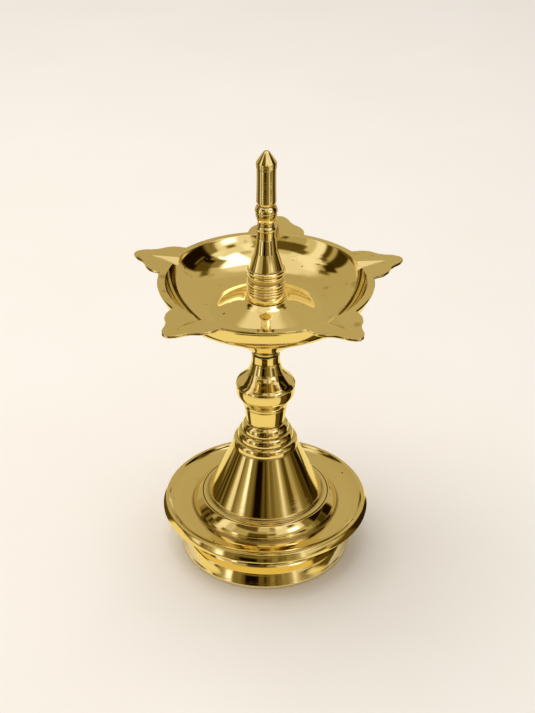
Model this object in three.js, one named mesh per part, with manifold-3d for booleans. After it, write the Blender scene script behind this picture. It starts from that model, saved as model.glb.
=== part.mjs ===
// Five-wick pedestal oil lamp in turned and polished brass.
// Millimetres, +Z up. The origin is where the lamp's axis meets the surface it stands on.
// A tie rod with a nut under the foot clamps base, pedestal and stem into one column. A stud in
// the top of the stem carries the oil bowl, and the finial screws down on that stud and holds it.

import * as THREE from 'three';
import { mergeVertices } from 'three/addons/utils/BufferGeometryUtils.js';
import { ConvexGeometry } from 'three/addons/geometries/ConvexGeometry.js';
import Module from 'manifold-3d';

const wasm = await Module();
wasm.setup();

// Clearances
const restGap = 0.2; // between two faces that rest on each other
const boreGap = 0.4; // all round, between a rod and its hole
const spigotGap = 0.3; // all round, between a spigot or seal and its socket
const socketSpace = 0.7; // left under a spigot in its socket
const studSpace = 1.5; // left above the stud in the finial

// Base: foot ring, cove, drip tray and shoulder in one casting
const footRadius = 41.4;
const footLipHeight = 2.5;
const footLipLean = 0.7; // how far the lip's face leans in
const footWall = 3.6;
const coveWall = 2.7;
const bandTop = 7;
const bandLean = 1.8; // how far the mirror band leans in
const coveDepth = 4.5; // how far the cove goes in behind the band's top
const trayRadius = 50;
const trayRimTop = 26.3;
const trayEdge = 3.7; // height of the tray's outer edge
const trayBevel = 1.1; // how far the slanted outer edge leans in
const trayLip = 2.8; // width of the lip round the tray
const trayDepth = 3.3; // from the rim's top down to where the plate meets the shoulder
const trayRise = 0.9; // how much the plate climbs on its way to the lip
const trayPlate = 2.6; // thickness of the plate
const shoulderHeight = 6.5; // above the plate
const shoulderWidth = 4.6;
const seatDepth = 2.9; // recess that the pedestal's flange drops into
const seatPlate = 3.2;
const hubWall = 4.7; // round the tie rod's hole
const hubLength = 12.6;

// Pedestal: hollow cone with a flange below and three stepped rings on top
const flangeWidth = 2.9; // outside the cone's foot
const flangeFlat = 1.8; // the part of that width which is flat
const coneFootRise = 1.7; // from the flange up to the cone's foot
const coneFootRadius = 27.4;
const coneTopRadius = 15.3;
const coneHeight = 26;
const coneWall = 2.8;
const ringRadii = [15.7, 13.4, 11.3]; // from the lowest ring up
const ringHeights = [3.9, 3.5, 3.1];
const ringSpace = 0.7; // between one ring and the next
const ringGroove = 0.5;
const socketDepth = 6;

// Stem: collar, knop and neck
const spigotWall = 1.9;
const collarFootRadius = 9.1; // shared with the pedestal's top
const collarTopRadius = 10.2;
const collarHeight = 9.1;
const knopRadius = 14.1;
const knopRise = 11.1; // from the collar's top to the knop's edge
const knopBand = 3.6; // height of the upright band under the knop's edge
const knopCrown = 2; // how much the knop's top bulges above its edge
const knopTop = 6.5; // from the knop's edge to where its top meets the neck
const neckRadius = 6.6;
const neckLength = 10.1;

// Rod and stud have one diameter, and a clear hole stands in for each nut thread
const rodRadius = 3.9;
const rodFoot = 0.5; // the tie rod stops just short of the floor
const rodGrip = 17.8; // length of tie rod inside the stem
const washerRadius = 8;
const washerThickness = 1.5;
const nutAcrossFlats = 13;
const nutHeight = 6.5;
const studGrip = 13; // length of stud inside the stem
const studReach = 13.8; // length of stud inside the finial

// Seals above and below the bowl
const sealThickness = 0.5;
const lowerSealInset = 0.3; // inside the neck's edge

// Oil bowl
const bowlDepth = 37.4; // from the rim down to the foot of the boss
const bowlMouthRadius = 45.6;
const rimWidth = 3.4;
const rimThickness = 1.3;
const shoulderTurn = 15; // radius of the outer turn from the underside up to the rim
const wallThickness = 2.1;
const undersideSlope = 31; // degrees, where the turn meets the underside
const undersideRadius = 78.9;
const innerTurn = 20; // radius of the inner turn from the mouth down to the floor
const mouthLean = 17; // degrees from upright, where that turn meets the mouth
const innerFloorSlope = 12; // degrees, where the inner turn meets the floor
const bossStep = 0.1; // how far the foot of the boss stands out from the neck
const bossEdge = 1; // height of the upright edge round that foot
const bossSlope = 41; // degrees from the horizontal
const moundRadius = 20.8; // the lowest ring of the bowl's floor
const moundFall = 5.9; // from the finial's seat down to that ring
const moundDrop = 9.3; // from the rim down to the finial's seat
const moundMargin = 1.35; // how much wider than the finial its seat is

// Spouts: flat leaf-shaped plates level with the rim, each with a V channel for a wick
const spoutAngles = [18.9, 84.3, 156.4, 230.2, 306.9];
const spoutJoin = 2.1; // how far each plate runs into the rim
const spoutLength = 20;
const spoutWidth = 26.8;
const channelWidth = 6.6; // at the mouth of the bowl
const channelDepth = 3;
const channelLength = 12.4; // from the mouth to where the channel runs out
const keelDepth = 5; // rib under the channel
const keelWidth = 10;
const keelLength = 13.6;

// Finial
const drumRadius = 8.85;
const drumWall = 1.55; // round the recess for the seal
const drumHeight = 9.5;
const drumGroove = 0.45;
const beadsHeight = 5.9; // two beads between the drum and the flare
const flareRadius = 7.7;
const flareTopRadius = 4.75;
const flareHeight = 14.6;
const spireRadius = 4.28;
const neckBeads = 17.8; // plain neck and conical beads above the flare
const plainNeck = 4; // its part that is plain
const lowBead = 0.15; // how far the lower bead stands out
const neckGroove = 0.6; // depth of the groove between the beads
const grooveRise = 6.6; // from the flare up to that groove
const highBead = 0.6; // how far the upper bead stands out
const highBeadDrop = 5; // from the spire's foot down to its edge
const collarGroove = 0.4; // depth of the groove under the spire
const spireLength = 15.2;
const tipBandRadius = 4.6;
const tipBandHeight = 2.9;
const tipHeight = 5.3;

// Facets round each turned piece
const wideFacets = 46;
const midFacets = 34;
const slimFacets = 24;

const metal = (color, roughness) => () => new THREE.MeshStandardMaterial({ color, roughness, metalness: 1 });
const polished = metal(0xd9b35c, 0.12);
const steel = metal(0x9a9a98, 0.4);
const leather = () => new THREE.MeshStandardMaterial({ color: 0x1c1612, roughness: 0.9, metalness: 0 });

const radians = THREE.MathUtils.degToRad;
const lamp = new THREE.Group();

// Points of a circular arc in the half plane of radius and height, ends included.
function arc(centreR, centreZ, radius, fromDegrees, toDegrees, steps) {
  const points = [];
  for (let i = 0; i <= steps; i += 1) {
    const a = radians(fromDegrees + ((toDegrees - fromDegrees) * i) / steps);
    points.push([centreR + radius * Math.cos(a), centreZ + radius * Math.sin(a)]);
  }
  return points;
}

// Points of a quadratic curve from one corner to another, bent towards a third, ends included.
function bend(start, pull, end, steps) {
  const points = [];
  for (let i = 0; i <= steps; i += 1) {
    const t = i / steps;
    const u = 1 - t;
    points.push([0, 1].map((k) => u * u * start[k] + 2 * u * t * pull[k] + t * t * end[k]));
  }
  return points;
}

// Solid of revolution. The profile runs from the foot up the outside and back down the inside.
function turned(profile, facets) {
  const corners = profile.map(([r, z]) => new THREE.Vector2(r, z));
  const geometry = new THREE.LatheGeometry(corners, facets);
  geometry.rotateX(Math.PI / 2);
  return geometry;
}

// Closes a profile that doesn't touch the axis.
function ring(profile) {
  return [...profile, profile[0]];
}

function place(name, geometry, material) {
  const mesh = new THREE.Mesh(geometry, material());
  mesh.name = name;
  lamp.add(mesh);
}

function solid(geometry) {
  const bare = geometry.clone();
  bare.deleteAttribute('normal');
  bare.deleteAttribute('uv');
  const merged = mergeVertices(bare, 1e-4);
  return new wasm.Manifold(new wasm.Mesh({
    numProp: 3,
    vertProperties: new Float32Array(merged.attributes.position.array),
    triVerts: new Uint32Array(merged.index.array),
  }));
}

function geometryOf(manifold) {
  const { vertProperties, triVerts } = manifold.getMesh();
  const geometry = new THREE.BufferGeometry();
  geometry.setAttribute('position', new THREE.BufferAttribute(new Float32Array(vertProperties), 3));
  geometry.setIndex(new THREE.BufferAttribute(new Uint32Array(triVerts), 1));
  geometry.computeVertexNormals();
  return geometry;
}

// Base. The outside climbs from the foot over the bead and cove to the tray, then to the shoulder
// round the pedestal's seat. The inside is open below, with a hub in the middle for the tie rod.
const rodHole = rodRadius + boreGap;
const bandFootRadius = footRadius - footLipLean - 0.1;
const bandTopRadius = bandFootRadius - bandLean;
const coveRadius = bandTopRadius - coveDepth;
const trayUnder = trayRimTop - trayEdge;
const trayFloor = trayRimTop - trayDepth;
const lipInner = trayRadius - trayLip;
const plateTop = trayFloor + trayRise;
const trayCeiling = trayFloor - trayPlate;
const flangeRadius = coneFootRadius + flangeWidth;
const seatRadius = flangeRadius + spigotGap;
const shoulderRadius = seatRadius + shoulderWidth;
const shoulderTop = trayFloor + shoulderHeight;
const seatHeight = shoulderTop - seatDepth;
const seatCeiling = seatHeight - seatPlate;
const hubRadius = rodHole + hubWall;
const hubFoot = seatHeight - hubLength;
const footInner = footRadius - footWall;
place('base', turned(ring([
  [footInner, 0],
  [footRadius - 0.4, 0],
  [footRadius, 0.4],
  [footRadius - footLipLean, footLipHeight],
  [bandFootRadius, footLipHeight + 0.3],
  [bandTopRadius, bandTop],
  ...bend([bandTopRadius - 0.3, bandTop + 0.1],
    [coveRadius + 1.7, bandTop + 1.5], [coveRadius + 0.4, bandTop + 4.4], 3),
  ...bend([coveRadius, bandTop + 7], [coveRadius, trayUnder - 1.8], [trayRadius - 5.5, trayUnder - 1.1], 4),
  [trayRadius - 0.6, trayUnder - 0.5],
  [trayRadius, trayUnder + 0.1],
  [trayRadius - trayBevel, trayRimTop - 1.1],
  [trayRadius - trayBevel - 0.6, trayRimTop - 0.4],
  [lipInner, trayRimTop - 0.1],
  [lipInner - 1.4, plateTop + 0.9],
  [lipInner - 3.8, plateTop],
  [shoulderRadius, trayFloor],
  ...bend([shoulderRadius - 0.2, trayFloor + 0.3],
    [seatRadius + shoulderWidth * 0.59, shoulderTop - 1.5],
    [seatRadius + shoulderWidth * 0.15, shoulderTop], 4),
  [seatRadius, shoulderTop - 0.3],
  [seatRadius, seatHeight],
  [rodHole, seatHeight],
  [rodHole, hubFoot],
  [hubRadius, hubFoot],
  [hubRadius, seatCeiling - 1.5],
  [hubRadius + 1.5, seatCeiling],
  [seatRadius - 2, seatCeiling],
  [seatRadius - 1, trayCeiling],
  [coveRadius - coveWall, trayCeiling - 2.9],
  [coveRadius - coveWall, bandTop + 4],
  [footInner - 3.3, bandTop + 1.2],
  [footInner, bandTop - 3.6],
]), wideFacets), polished);

// Pedestal. The flange sits in the base's seat and the stem's spigot drops into the socket on top.
const flangeFoot = seatHeight + restGap;
const coneFoot = shoulderTop + coneFootRise;
const coneTop = coneFoot + coneHeight;
const ringPoints = [];
let ringFoot = coneTop;
ringRadii.forEach((radius, i) => {
  const above = ringFoot + ringHeights[i];
  ringPoints.push([radius, ringFoot + 0.2]);
  ringPoints.push([radius - 0.2, ringFoot + ringHeights[i] * 0.4]);
  ringPoints.push([radius - 1.1, above]);
  ringPoints.push([radius - 1.1 - ringGroove, above + 0.2]);
  ringFoot = above + ringSpace;
});
const pedestalTop = ringFoot + 0.2;
const spigotRadius = rodHole + spigotWall;
const socketRadius = spigotRadius + spigotGap;
const socketFoot = pedestalTop - socketDepth;
place('pedestal', turned(ring([
  [coneFootRadius - coneWall, flangeFoot],
  [flangeRadius, flangeFoot],
  [flangeRadius, shoulderTop - 0.2],
  [flangeRadius - 0.2, shoulderTop],
  ...bend([flangeRadius - flangeFlat, shoulderTop + 0.1],
    [coneFootRadius, shoulderTop + 0.5], [coneFootRadius, coneFoot], 2),
  [coneTopRadius, coneTop],
  ...ringPoints,
  [collarFootRadius, pedestalTop],
  [socketRadius, pedestalTop],
  [socketRadius, socketFoot],
  [rodHole, socketFoot],
  [rodHole, socketFoot - coneWall],
  [rodHole + 2, socketFoot - coneWall],
  [coneTopRadius - coneWall, coneTop - coneWall],
  [coneFootRadius - coneWall, coneFoot],
]), midFacets), polished);

// Stem. Blind holes from both ends take the tie rod and the stud.
const stemFoot = pedestalTop + restGap;
const spigotFoot = socketFoot + socketSpace;
const rodTop = stemFoot + rodGrip;
const collarTop = stemFoot + collarHeight;
const knopEdge = collarTop + knopRise;
const bandFoot = knopEdge - knopBand;
const neckFoot = knopEdge + knopTop;
const stemTop = neckFoot + neckLength;
const studFoot = stemTop - studGrip;
place('stem', turned([
  [0, rodTop + restGap],
  [rodHole, rodTop + restGap],
  [rodHole, spigotFoot],
  [spigotRadius, spigotFoot],
  [spigotRadius, stemFoot],
  [collarFootRadius, stemFoot],
  [collarTopRadius, collarTop - 0.9],
  ...bend([collarTopRadius + 0.2, collarTop],
    [knopRadius - 0.6, collarTop + 3.6], [knopRadius - 0.3, bandFoot], 4),
  [knopRadius - 0.15, knopEdge - 0.4],
  ...bend([knopRadius, knopEdge], [knopRadius - 0.2, knopEdge + 1.1],
    [knopRadius - 1.6, knopEdge + knopCrown], 3),
  ...bend([knopRadius - 3.2, knopEdge + knopCrown * 1.8], [neckRadius + 0.8, neckFoot],
    [neckRadius, neckFoot + neckLength * 0.54], 6),
  [neckRadius, stemTop],
  [rodHole, stemTop],
  [rodHole, studFoot - restGap],
  [0, studFoot - restGap],
], slimFacets), polished);

// Tie rod, washer and nut under the hub
function rod(foot, top) {
  return turned([
    [0, foot],
    [rodRadius - 0.6, foot],
    [rodRadius, foot + 0.6],
    [rodRadius, top - 0.6],
    [rodRadius - 0.6, top],
    [0, top],
  ], slimFacets);
}
function flatRing(outer, inner, foot, thickness, facets) {
  return turned(ring([
    [inner, foot],
    [outer, foot],
    [outer, foot + thickness],
    [inner, foot + thickness],
  ]), facets);
}
place('tie_rod', rod(rodFoot, rodTop), steel);
const washerFoot = hubFoot - restGap - washerThickness;
place('base_washer', flatRing(washerRadius, rodHole, washerFoot, washerThickness, slimFacets), steel);
const nutOutline = new THREE.Shape();
const nutCorner = nutAcrossFlats / Math.sqrt(3);
for (let i = 0; i < 6; i += 1) {
  const a = radians(60 * i);
  const go = i ? 'lineTo' : 'moveTo';
  nutOutline[go](nutCorner * Math.cos(a), nutCorner * Math.sin(a));
}
nutOutline.closePath();
const nutBore = new THREE.Path();
nutBore.absarc(0, 0, rodHole, 0, 2 * Math.PI, true);
nutOutline.holes.push(nutBore);
const nutCut = { depth: nutHeight, bevelEnabled: false, curveSegments: 12 };
const nut = new THREE.ExtrudeGeometry(nutOutline, nutCut);
nut.translate(0, 0, washerFoot - restGap - nutHeight);
place('base_nut', nut, steel);

// Seal between the stem and the bowl's boss
const lowerSealFoot = stemTop + restGap;
const lowerSealRadius = neckRadius - lowerSealInset;
place('lower_seal', flatRing(lowerSealRadius, rodHole, lowerSealFoot, sealThickness, slimFacets), leather);

// Oil bowl. The underside is part of a large sphere with a conical boss under it, and a turn
// carries it up to the rim. Inside, the floor falls to a ring and climbs again to the finial's seat.
const bossFoot = lowerSealFoot + sealThickness + restGap;
const rimTop = bossFoot + bowlDepth;
const rimRadius = bowlMouthRadius + rimWidth;
const turnEnd = -90 + undersideSlope;
const turnCentreR = bowlMouthRadius + wallThickness - shoulderTurn;
const [undersideR, undersideZ] = arc(turnCentreR, rimTop, shoulderTurn, turnEnd, turnEnd, 1)[0];
const sphereZ = undersideZ + Math.sqrt(undersideRadius ** 2 - undersideR ** 2);
const underside = (r) => sphereZ - Math.sqrt(undersideRadius ** 2 - r ** 2);

// The boss is a cone, and ends where its slope meets the sphere
const bossRadius = neckRadius + bossStep;
const bossTan = Math.tan(radians(bossSlope));
const bossDrop = sphereZ - (bossFoot + bossEdge) + bossRadius * bossTan;
const bossRoot = undersideRadius ** 2 * (1 + bossTan ** 2) - bossDrop ** 2;
const bossTopRadius = (bossDrop * bossTan - Math.sqrt(bossRoot)) / (1 + bossTan ** 2);

const innerCentreR = bowlMouthRadius - innerTurn * Math.cos(radians(mouthLean));
const innerCentreZ = rimTop + innerTurn * Math.sin(radians(mouthLean));
const floorEnd = -90 + innerFloorSlope;
const rimAngle = (-Math.asin(rimThickness / shoulderTurn) * 180) / Math.PI;
const [floorR, floorZ] = arc(innerCentreR, innerCentreZ, innerTurn, floorEnd, floorEnd, 1)[0];
const moundSeatRadius = drumRadius + moundMargin;
const moundSeat = rimTop - moundDrop;
const floorInnerR = moundRadius + 3.7;
const floorInnerZ = floorZ - (floorR - floorInnerR) * Math.tan(radians(innerFloorSlope));

// From its lowest ring the floor climbs to the seat as 3 t^2 - 2 t^3
const mound = [0, 0.2, 0.4, 0.6, 0.8].map((t) => [
  moundRadius + (moundSeatRadius - 0.8 - moundRadius) * t,
  moundSeat - moundFall * (1 - t * t * (3 - 2 * t)),
]);
const shell = turned(ring([
  [rodHole, bossFoot],
  [bossRadius - 0.2, bossFoot],
  [bossRadius, bossFoot + bossEdge],
  [bossTopRadius, underside(bossTopRadius)],
  [(bossTopRadius + undersideR) / 2, underside((bossTopRadius + undersideR) / 2)],
  ...arc(turnCentreR, rimTop, shoulderTurn, turnEnd, rimAngle, 6),
  [rimRadius, rimTop - rimThickness],
  [rimRadius, rimTop],
  ...arc(innerCentreR, innerCentreZ, innerTurn, -mouthLean, floorEnd, 8),
  [floorInnerR, floorInnerZ],
  ...mound,
  [moundSeatRadius, moundSeat],
  [rodHole, moundSeat],
]), wideFacets);

// Spout: half of its outline runs from root to tip, as shares of its length and of half its width
const plateFoot = rimTop - rimThickness;
const spoutRoot = rimRadius - spoutJoin;
const leaf = [
  [0, 1],
  [0.065, 1],
  [0.28, 0.95],
  [0.425, 0.806],
  [0.555, 0.56],
  [0.69, 0.418],
  [0.845, 0.321],
  [0.975, 0.134],
].map(([along, across]) => [spoutRoot + along * spoutLength, (across * spoutWidth) / 2]);
const leafShape = new THREE.Shape();
leaf.forEach(([along, across], i) => leafShape[i ? 'lineTo' : 'moveTo'](along, -across));
leafShape.lineTo(spoutRoot + spoutLength, 0);
[...leaf].reverse().forEach(([along, across]) => leafShape.lineTo(along, across));
leafShape.closePath();
const plate = new THREE.ExtrudeGeometry(leafShape, { depth: rimThickness, bevelEnabled: false });
plate.translate(0, 0, plateFoot);
const point = (x, y, z) => new THREE.Vector3(x, y, z);
const keelTop = plateFoot + rimThickness * 0.3;
const keel = new ConvexGeometry([
  point(spoutRoot, -keelWidth / 2, keelTop),
  point(spoutRoot, keelWidth / 2, keelTop),
  point(spoutRoot, -keelWidth * 0.15, rimTop - keelDepth),
  point(spoutRoot, keelWidth * 0.15, rimTop - keelDepth),
  point(spoutRoot + keelLength, 0, keelTop),
]);

// Channel: a wedge that is deepest at the bowl and is carried on past the rim at both ends
const cutAbove = 1;
const cutBack = 5;
const channelSlope = channelDepth / channelLength;
const cutStart = bowlMouthRadius - cutBack;
const cutLow = rimTop - channelDepth - channelSlope * cutBack;
const cutEnd = bowlMouthRadius + channelLength + cutAbove / channelSlope;
const cutHalf = (channelWidth / 2 / channelDepth) * (rimTop + cutAbove - cutLow);
const channel = new ConvexGeometry([
  point(cutStart, -cutHalf, rimTop + cutAbove),
  point(cutStart, cutHalf, rimTop + cutAbove),
  point(cutStart, 0, cutLow),
  point(cutEnd, 0, rimTop + cutAbove),
]);
let bowl = solid(shell);
spoutAngles.forEach((degrees) => {
  const spout = solid(plate).add(solid(keel)).rotate([0, 0, degrees]);
  const groove = solid(channel).rotate([0, 0, degrees]);
  bowl = bowl.add(spout).subtract(groove);
});
place('bowl', geometryOf(bowl), polished);

// Seal under the finial, in a recess of its foot
const finialFoot = moundSeat + restGap;
const recessRadius = drumRadius - drumWall;
const upperSealRadius = recessRadius - spigotGap;
place('upper_seal', flatRing(upperSealRadius, rodHole, finialFoot, sealThickness, slimFacets), leather);

// Stud, up through the bowl into the finial
const studTop = finialFoot + studReach;
place('bowl_stud', rod(studFoot, studTop), steel);

// Finial, from the drum over the flared cone and the beads to the pointed tip
const recessTop = finialFoot + sealThickness + restGap;
const finialBoreTop = studTop + studSpace;
const drumTop = finialFoot + drumHeight;
const flareFoot = drumTop + beadsHeight;
const flareTop = flareFoot + flareHeight;
const spireFoot = flareTop + neckBeads;
const spireTop = spireFoot + spireLength;
const tipBandTop = spireTop + tipBandHeight;
place('finial', turned([
  [0, finialBoreTop],
  [rodHole, finialBoreTop],
  [rodHole, recessTop],
  [recessRadius, recessTop],
  [recessRadius, finialFoot],
  [drumRadius, finialFoot],
  [drumRadius, drumTop - 5.9],
  [drumRadius - drumGroove, drumTop - 5.5],
  [drumRadius - drumGroove, drumTop - 5],
  [drumRadius, drumTop - 4.6],
  [drumRadius - 0.15, drumTop - 1],
  [drumRadius - 0.8, drumTop],
  [flareRadius, drumTop + 0.6],
  [flareRadius, drumTop + 1.1],
  [flareRadius + 0.6, drumTop + 1.7],
  [flareRadius + 0.6, drumTop + 3.2],
  [flareRadius + 0.85, drumTop + 3.8],
  [flareRadius + 0.85, flareFoot - 0.9],
  [flareRadius + 0.5, flareFoot - 0.4],
  ...bend([flareRadius, flareFoot],
    [flareTopRadius + 0.9, flareFoot + 7], [flareTopRadius, flareTop - 0.2], 4),
  [spireRadius, flareTop],
  [spireRadius, flareTop + plainNeck],
  [spireRadius + lowBead, flareTop + plainNeck + 0.6],
  [spireRadius - neckGroove, flareTop + grooveRise],
  [spireRadius + highBead * 0.25, spireFoot - highBeadDrop - 2.3],
  [spireRadius + highBead, spireFoot - highBeadDrop],
  [spireRadius - collarGroove, spireFoot - highBeadDrop * 0.44],
  [spireRadius + 0.1, spireFoot],
  [spireRadius - 0.05, spireTop],
  [tipBandRadius - 0.1, spireTop + 0.3],
  [tipBandRadius, tipBandTop],
  ...bend([tipBandRadius - 0.15, tipBandTop + 0.4],
    [tipBandRadius * 0.48, tipBandTop + tipHeight - 1], [0, tipBandTop + tipHeight], 4),
], slimFacets), polished);

export default lamp;
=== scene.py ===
import bpy
import numpy as np
from mathutils import Matrix, Vector


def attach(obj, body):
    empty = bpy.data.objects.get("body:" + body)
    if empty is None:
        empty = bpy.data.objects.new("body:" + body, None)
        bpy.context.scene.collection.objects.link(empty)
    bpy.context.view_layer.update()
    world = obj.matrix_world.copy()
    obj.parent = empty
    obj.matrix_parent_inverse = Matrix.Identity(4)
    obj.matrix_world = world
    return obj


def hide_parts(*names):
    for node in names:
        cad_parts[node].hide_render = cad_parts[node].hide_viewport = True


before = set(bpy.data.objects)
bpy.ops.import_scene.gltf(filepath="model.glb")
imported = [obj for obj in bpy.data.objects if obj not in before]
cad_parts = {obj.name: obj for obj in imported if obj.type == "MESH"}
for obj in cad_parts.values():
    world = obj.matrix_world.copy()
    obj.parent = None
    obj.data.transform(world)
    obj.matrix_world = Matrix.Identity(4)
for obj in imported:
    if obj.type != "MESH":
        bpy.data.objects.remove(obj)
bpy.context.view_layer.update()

MM = 0.001

# The camera stands square in front of the lamp, 0.68 m away, and looks down on it by about 31
# degrees. Its place, turn and lens are those at which the lamp's rings fall on the photograph's.
camera_data = bpy.data.cameras.new("photo_camera")
camera = bpy.data.objects.new("photo_camera", camera_data)
bpy.context.collection.objects.link(camera)
bpy.context.scene.camera = camera
look_down, look_aside, lean = np.radians([30.757, 0.0679, 0.212])
sensor_width, picture_height_px, focal_px = 36, 713, 1455.32
ahead = np.array([
    np.sin(look_aside),
    np.cos(look_down) * np.cos(look_aside),
    -np.sin(look_down) * np.cos(look_aside),
])
sideways = np.array([
    np.cos(look_aside),
    -np.cos(look_down) * np.sin(look_aside),
    np.sin(look_down) * np.sin(look_aside),
])
over = np.cross(sideways, ahead)
right = sideways * np.cos(lean) + over * np.sin(lean)
up = over * np.cos(lean) - sideways * np.sin(lean)
eye = np.array([0.0, -581.28, 450.53]) * MM
columns = np.column_stack([right, up, -ahead, eye])
camera.matrix_world = Matrix(np.vstack([columns, [0, 0, 0, 1]]).tolist())
camera_data.sensor_width = sensor_width
camera_data.lens = focal_px * sensor_width / picture_height_px
camera_data.clip_start = 0.01
camera_data.clip_end = 20
bpy.context.scene.view_settings.view_transform = "Standard"

# The base is one brass casting: foot ring, mirror band, cove, drip tray and the shoulder round
# the pedestal's seat. It is turned and polished outside and hollow below, and the tie
# rod's nut holds it from underneath.


def curve(start, pull, end, steps=16):
    """Points of a quadratic curve: (1-t)^2 start + 2t(1-t) pull + t^2 end, for t from 0 to 1."""
    t = np.linspace(0, 1, steps)[:, None]
    return (1 - t) ** 2 * np.array(start) + 2 * t * (1 - t) * np.array(pull) + t ** 2 * np.array(end)


def softened(pieces, blur, rows, closed=True):
    """Profile of radius and height in mm with worn corners, and how hollow it is at each row.

    The corners are joined by straight lines, laid out by arc length s, and averaged with the
    bell curve exp(-s^2 / 2 blur^2). A profile that isn't closed is mirrored in the axis at its
    ends first, so the poles stay smooth. Rows lie at even steps of s / length + 1.5 turned / all
    turned, so tight corners get more of them. Hollow is the inward bend in radians for each mm,
    averaged over 0.25 mm, divided by 0.9 and less 0.1, and kept from 0 to 1.
    """
    corners = np.vstack([np.atleast_2d(np.array(piece, float)) for piece in pieces])
    if closed:
        corners = np.vstack([corners, corners[:1]])
    along = np.concatenate([[0], np.cumsum(np.hypot(*np.diff(corners, axis=0).T))])
    count = int(along[-1] / 0.02)
    s = np.linspace(0, along[-1], count, endpoint=not closed)
    step = s[1]
    fine = np.column_stack([np.interp(s, along, corners[:, 0]), np.interp(s, along, corners[:, 1])])

    def averaged(values, width, mirror):
        reach = int(4 * width / step)
        bell = np.exp(-0.5 * (np.arange(-reach, reach + 1) * step / width) ** 2)
        if closed:
            padded = np.concatenate([values[-reach:], values, values[:reach]])
        else:
            before, beyond = values[reach:0:-1], values[-2:-reach - 2:-1]
            padded = np.concatenate([mirror * before, values, mirror * beyond])
        return np.convolve(padded, bell / bell.sum(), "valid")

    smooth = np.column_stack([averaged(fine[:, 0], blur, -1), averaged(fine[:, 1], blur, 1)])
    if not closed:
        smooth[[0, -1], 0] = 0
    direction = np.unwrap(np.arctan2(np.gradient(smooth[:, 1]), np.gradient(smooth[:, 0])))
    bend = np.gradient(direction) / step
    hollow = np.clip(-averaged(bend, 0.25, 1) / 0.9 - 0.1, 0, 1)
    turning = np.cumsum(np.abs(np.gradient(direction)))
    key = s / s[-1] + 1.5 * turning / turning[-1]
    pick = np.interp(np.linspace(key[0], key[-1], rows, endpoint=not closed), key, np.arange(count))
    pick = np.round(pick).astype(int)
    return smooth[pick], hollow[pick]


def mesh_of(name, points, faces, hollow, sharp=None):
    """Object at the origin with its points in mm, smooth faces and a "hollow" value at each point.
    Edges that turn by more than `sharp` degrees stay crisp."""
    mesh = bpy.data.meshes.new(name)
    mesh.from_pydata((points * MM).tolist(), [], faces)
    mesh.polygons.foreach_set("use_smooth", np.ones(len(mesh.polygons), bool))
    mesh.attributes.new("hollow", "FLOAT", "POINT").data.foreach_set("value", hollow.astype(np.float32))
    mesh.update()
    if sharp:
        mesh.set_sharp_from_angle(angle=np.radians(sharp))
    piece = bpy.data.objects.new(name, mesh)
    bpy.context.collection.objects.link(piece)
    return piece


def skin(rows, around, closed):
    """Faces of a grid of rows by places around, whose last column joins its first. A closed skin
    joins its last row to its first, and an open one ends in a pole at each end."""
    i, j = np.meshgrid(np.arange(rows if closed else rows - 1), np.arange(around), indexing="ij")
    above, beside = (i + 1) % rows, (j + 1) % around
    quads = np.stack([i * around + j, i * around + beside, above * around + beside, above * around + j], -1)
    faces = quads.reshape(-1, 4).tolist()
    if not closed:
        first, last = rows * around, rows * around + 1
        j = np.arange(around)
        beside = (j + 1) % around
        top = (rows - 1) * around
        faces += np.stack([np.full(around, first), beside, j], -1).tolist()
        faces += np.stack([np.full(around, last), top + j, top + beside], -1).tolist()
    return faces


def turned(name, profile, hollow, closed=True, around=360):
    """A profile spun round the axis: row i, place j is (r_i cos a_j, r_i sin a_j, z_i), with
    a_j = 2 pi j / around. A profile that isn't closed starts and ends in one point on the axis."""
    angle = 2 * np.pi * np.arange(around) / around
    body = profile if closed else profile[1:-1]
    shade = hollow if closed else hollow[1:-1]
    r, z = body[:, :1], body[:, 1:]
    grid = np.stack([r * np.cos(angle), r * np.sin(angle), z + 0 * angle], -1).reshape(-1, 3)
    value = np.repeat(shade, around)
    if not closed:
        ends = np.array([[0, 0, profile[0, 1]], [0, 0, profile[-1, 1]]])
        grid = np.vstack([grid, ends])
        value = np.concatenate([value, [0, 0]])
    return mesh_of(name, grid, skin(len(body), around, closed), value)


def wire(tree, kind, inputs=None, **settings):
    """A shader node with its settings, and its inputs set to numbers or joined to sockets."""
    made = tree.nodes.new(kind)
    for key, value in settings.items():
        setattr(made, key, value)
    for key, value in (inputs or {}).items():
        if isinstance(value, bpy.types.NodeSocket):
            tree.links.new(value, made.inputs[key])
        else:
            made.inputs[key].default_value = value
    return made


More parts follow.
